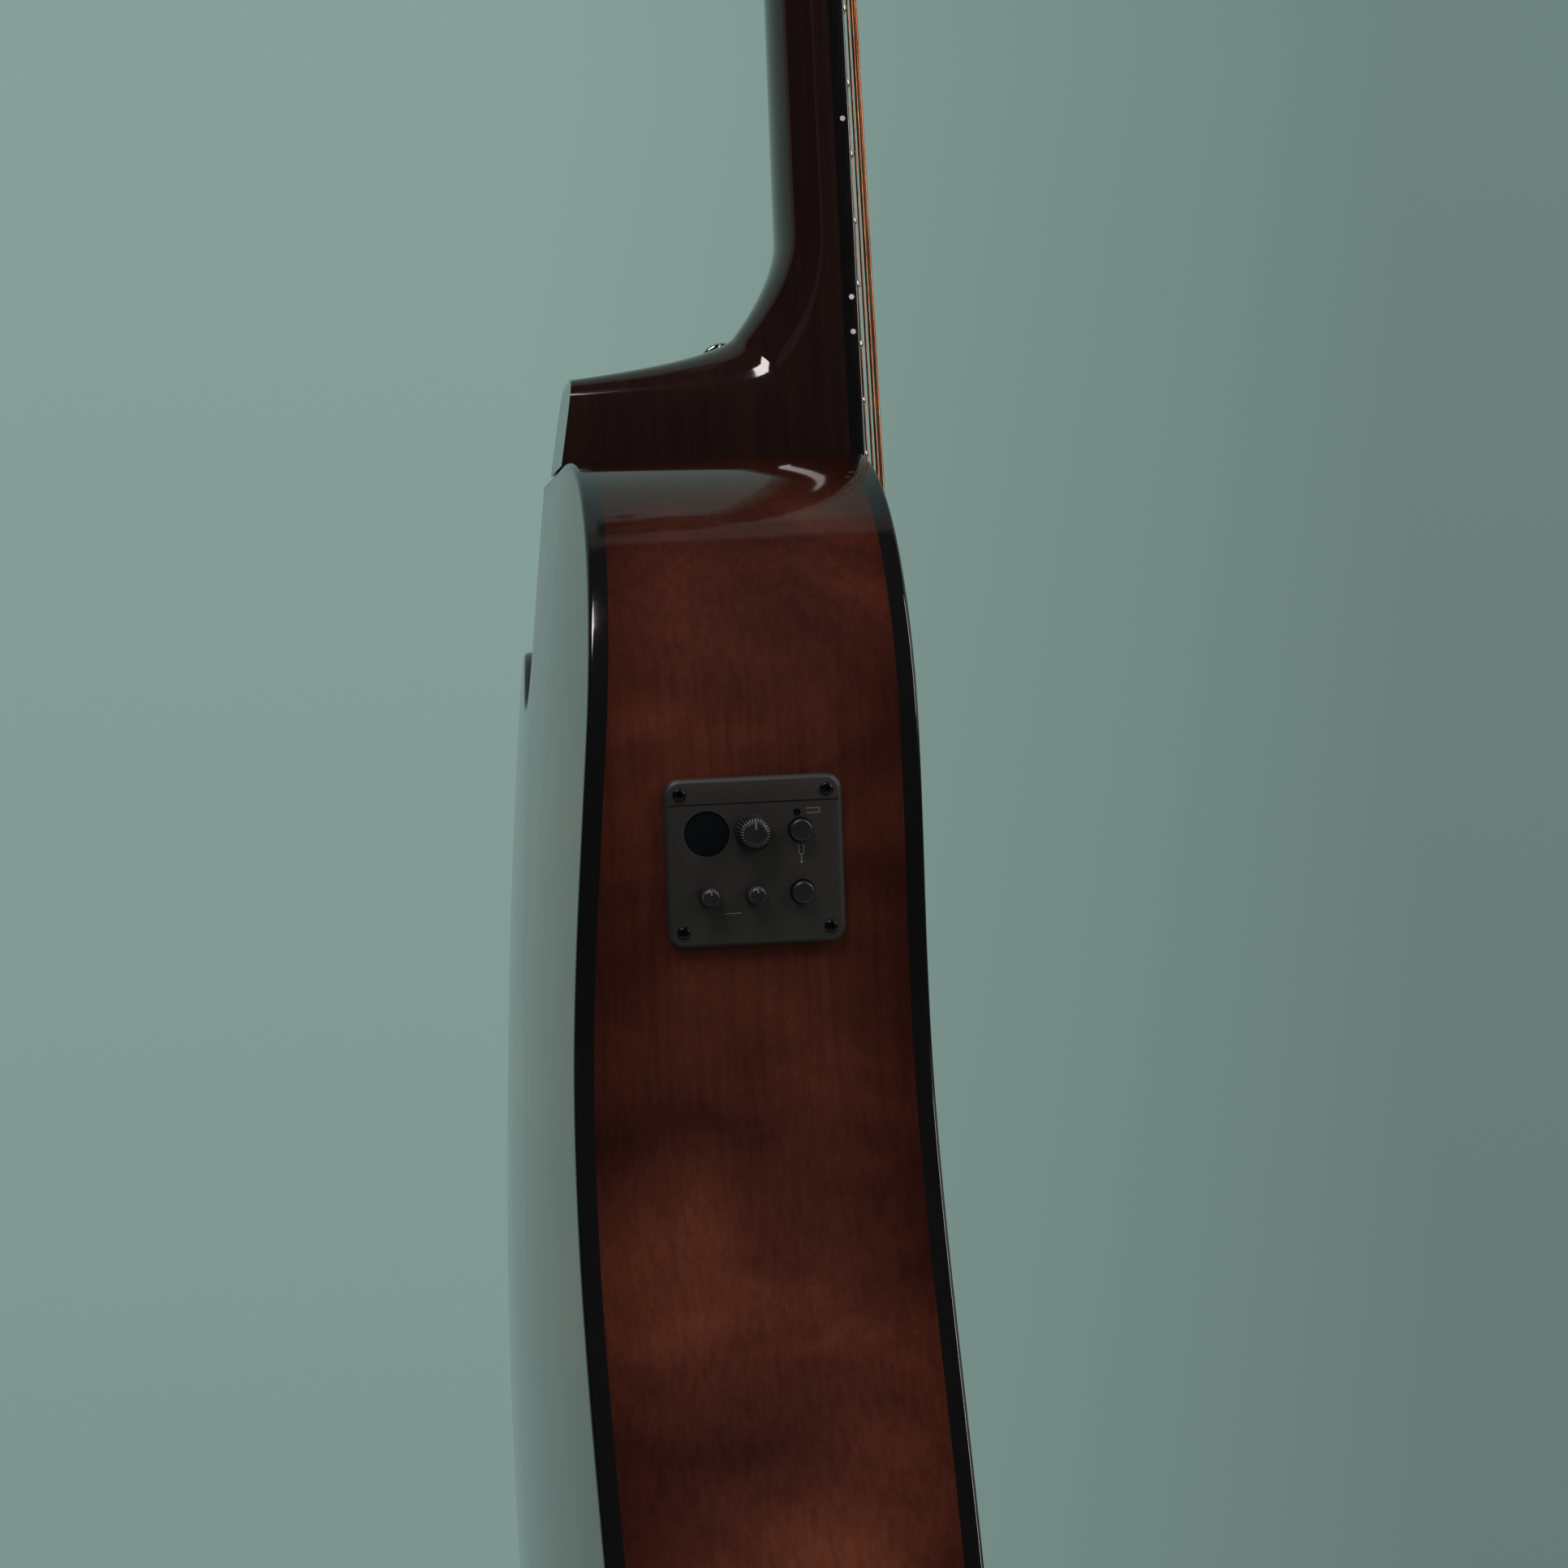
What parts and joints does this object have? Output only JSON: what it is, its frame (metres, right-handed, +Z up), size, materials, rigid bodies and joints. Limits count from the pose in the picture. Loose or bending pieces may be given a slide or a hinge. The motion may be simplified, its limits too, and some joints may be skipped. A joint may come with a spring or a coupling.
{
  "type": "acoustic-electric guitar",
  "caption": "Steel-string acoustic-electric guitar with rounded cutaway, side-mounted preamp panel with knobs and buttons, geared tuners and endpin jack.",
  "frame": {"origin": "front edge of the nut on the centreline, in the plane of the soundboard's outer face", "axes": "+Z up along the neck to the headstock, +Y to the back of the body, the soundboard faces -Y, +X the treble side with the cutaway"},
  "size_m": [0.398, 0.1283, 1.0703],
  "materials": {
    "soundboard": "glossy stained spruce top",
    "back": "glossy dark stained back",
    "sides": "glossy reddish brown stained sides, cloudy figure",
    "binding_top": "black glossy binding",
    "binding_back": "black glossy binding",
    "neck": "glossy near-black espresso stain",
    "fretboard": "satin dark rosewood with nickel frets",
    "bridge": "satin dark rosewood",
    "inner_wood": "raw wood inside the body",
    "bone": "satin ivory-coloured nut and saddle",
    "wound_string": "bronze wound string",
    "plain_string": "plain steel string",
    "tuner_metal": "chrome plated die-cast metal",
    "steel": "plain steel",
    "panel": "charcoal satin moulded plastic",
    "knob": "black moulded plastic",
    "lens": "dark glossy window",
    "cable": "black cable jacket",
    "guard": "black glossy guard",
    "battery": "plain dark battery case"
  },
  "bodies": {
    "root": {"soundboard": "soundboard", "back": "back", "sides": "sides", "binding_top": "binding_top", "binding_back": "binding_back", "lining_top": "inner_wood", "lining_back": "inner_wood", "neck_block": "inner_wood", "tail_block": "inner_wood", "top_bracing": "inner_wood", "transverse_brace": "inner_wood", "bridge_plate": "inner_wood", "neck": "neck", "fretboard": "fretboard", "nut": "bone", "truss_rod": "steel", "truss_rod_cover": "guard", "bridge": "bridge", "saddle": "bone", "saddle_pickup": "steel", "preamp_panel": "panel", "preamp_box": "panel", "circuit_board": "panel", "display_window": "lens", "strap_button": "tuner_metal", "endpin_jack": "tuner_metal", "battery": "battery", "battery_holder": "panel", "pickup_lead": "cable", "jack_lead": "cable", "pickguard": "guard", "string_1": "wound_string", "tuner_1_housing": "tuner_metal", "string_2": "wound_string", "tuner_2_housing": "tuner_metal", "string_3": "wound_string", "tuner_3_housing": "tuner_metal", "string_4": "wound_string", "tuner_4_housing": "tuner_metal", "string_5": "plain_string", "tuner_5_housing": "tuner_metal", "string_6": "plain_string", "tuner_6_housing": "tuner_metal"},
    "tuner_1_knob": {"tuner_1_knob": "tuner_metal"},
    "tuner_1_post": {"tuner_1_post": "tuner_metal"},
    "tuner_2_knob": {"tuner_2_knob": "tuner_metal"},
    "tuner_2_post": {"tuner_2_post": "tuner_metal"},
    "tuner_3_knob": {"tuner_3_knob": "tuner_metal"},
    "tuner_3_post": {"tuner_3_post": "tuner_metal"},
    "tuner_4_knob": {"tuner_4_knob": "tuner_metal"},
    "tuner_4_post": {"tuner_4_post": "tuner_metal"},
    "tuner_5_knob": {"tuner_5_knob": "tuner_metal"},
    "tuner_5_post": {"tuner_5_post": "tuner_metal"},
    "tuner_6_knob": {"tuner_6_knob": "tuner_metal"},
    "tuner_6_post": {"tuner_6_post": "tuner_metal"},
    "volume_knob": {"volume_knob": "knob"},
    "bass_knob": {"bass_knob": "knob"},
    "treble_knob": {"treble_knob": "knob"},
    "tuner_button": {"tuner_button": "knob"},
    "phase_button": {"phase_button": "knob"}
  },
  "joints": [
    {"name": "tuner_1_turn", "type": "hinge", "parent": "root", "child": "tuner_1_knob", "pos_m": [-0.0215, 0.03454, 0.05859], "axis": [-1, 0, 0], "continuous": true},
    {"name": "tuner_1_wind", "type": "hinge", "parent": "root", "child": "tuner_1_post", "pos_m": [-0.0215, 0.01258, 0.05545], "axis": [0, -0.9703, 0.2419], "continuous": true},
    {"name": "tuner_2_turn", "type": "hinge", "parent": "root", "child": "tuner_2_knob", "pos_m": [-0.0215, 0.04422, 0.0974], "axis": [-1, 0, 0], "continuous": true},
    {"name": "tuner_2_wind", "type": "hinge", "parent": "root", "child": "tuner_2_post", "pos_m": [-0.0215, 0.02226, 0.09427], "axis": [0, -0.9703, 0.2419], "continuous": true},
    {"name": "tuner_3_turn", "type": "hinge", "parent": "root", "child": "tuner_3_knob", "pos_m": [-0.0215, 0.05389, 0.13621], "axis": [-1, 0, 0], "continuous": true},
    {"name": "tuner_3_wind", "type": "hinge", "parent": "root", "child": "tuner_3_post", "pos_m": [-0.0215, 0.03193, 0.13308], "axis": [0, -0.9703, 0.2419], "continuous": true},
    {"name": "tuner_4_turn", "type": "hinge", "parent": "root", "child": "tuner_4_knob", "pos_m": [0.0215, 0.05389, 0.13621], "axis": [1, 0, 0], "continuous": true},
    {"name": "tuner_4_wind", "type": "hinge", "parent": "root", "child": "tuner_4_post", "pos_m": [0.0215, 0.03193, 0.13308], "axis": [0, -0.9703, 0.2419], "continuous": true},
    {"name": "tuner_5_turn", "type": "hinge", "parent": "root", "child": "tuner_5_knob", "pos_m": [0.0215, 0.04422, 0.0974], "axis": [1, 0, 0], "continuous": true},
    {"name": "tuner_5_wind", "type": "hinge", "parent": "root", "child": "tuner_5_post", "pos_m": [0.0215, 0.02226, 0.09427], "axis": [0, -0.9703, 0.2419], "continuous": true},
    {"name": "tuner_6_turn", "type": "hinge", "parent": "root", "child": "tuner_6_knob", "pos_m": [0.0215, 0.03454, 0.05859], "axis": [1, 0, 0], "continuous": true},
    {"name": "tuner_6_wind", "type": "hinge", "parent": "root", "child": "tuner_6_post", "pos_m": [0.0215, 0.01258, 0.05545], "axis": [0, -0.9703, 0.2419], "continuous": true},
    {"name": "volume_turn", "type": "hinge", "parent": "root", "child": "volume_knob", "pos_m": [-0.13847, 0.0513, -0.47839], "axis": [-0.9958, 0, -0.0913], "range_deg": [-150, 150]},
    {"name": "bass_turn", "type": "hinge", "parent": "root", "child": "bass_knob", "pos_m": [-0.13679, 0.0651, -0.49671], "axis": [-0.9958, 0, -0.0913], "range_deg": [-150, 150]},
    {"name": "treble_turn", "type": "hinge", "parent": "root", "child": "treble_knob", "pos_m": [-0.13679, 0.0513, -0.49671], "axis": [-0.9958, 0, -0.0913], "range_deg": [-150, 150]},
    {"name": "tuner_press", "type": "slide", "parent": "root", "child": "tuner_button", "axis": [0.9958, 0, 0.0913], "range_m": [0, 0.0012], "stiffness_N_per_m": 400},
    {"name": "phase_press", "type": "slide", "parent": "root", "child": "phase_button", "axis": [0.9958, 0, 0.0913], "range_m": [0, 0.0012], "stiffness_N_per_m": 400}
  ],
  "couplings": [
    {"joint": "tuner_1_wind", "follows": "tuner_1_turn", "ratio": 0.071429},
    {"joint": "tuner_2_wind", "follows": "tuner_2_turn", "ratio": 0.071429},
    {"joint": "tuner_3_wind", "follows": "tuner_3_turn", "ratio": 0.071429},
    {"joint": "tuner_4_wind", "follows": "tuner_4_turn", "ratio": -0.071429},
    {"joint": "tuner_5_wind", "follows": "tuner_5_turn", "ratio": -0.071429},
    {"joint": "tuner_6_wind", "follows": "tuner_6_turn", "ratio": -0.071429}
  ]
}
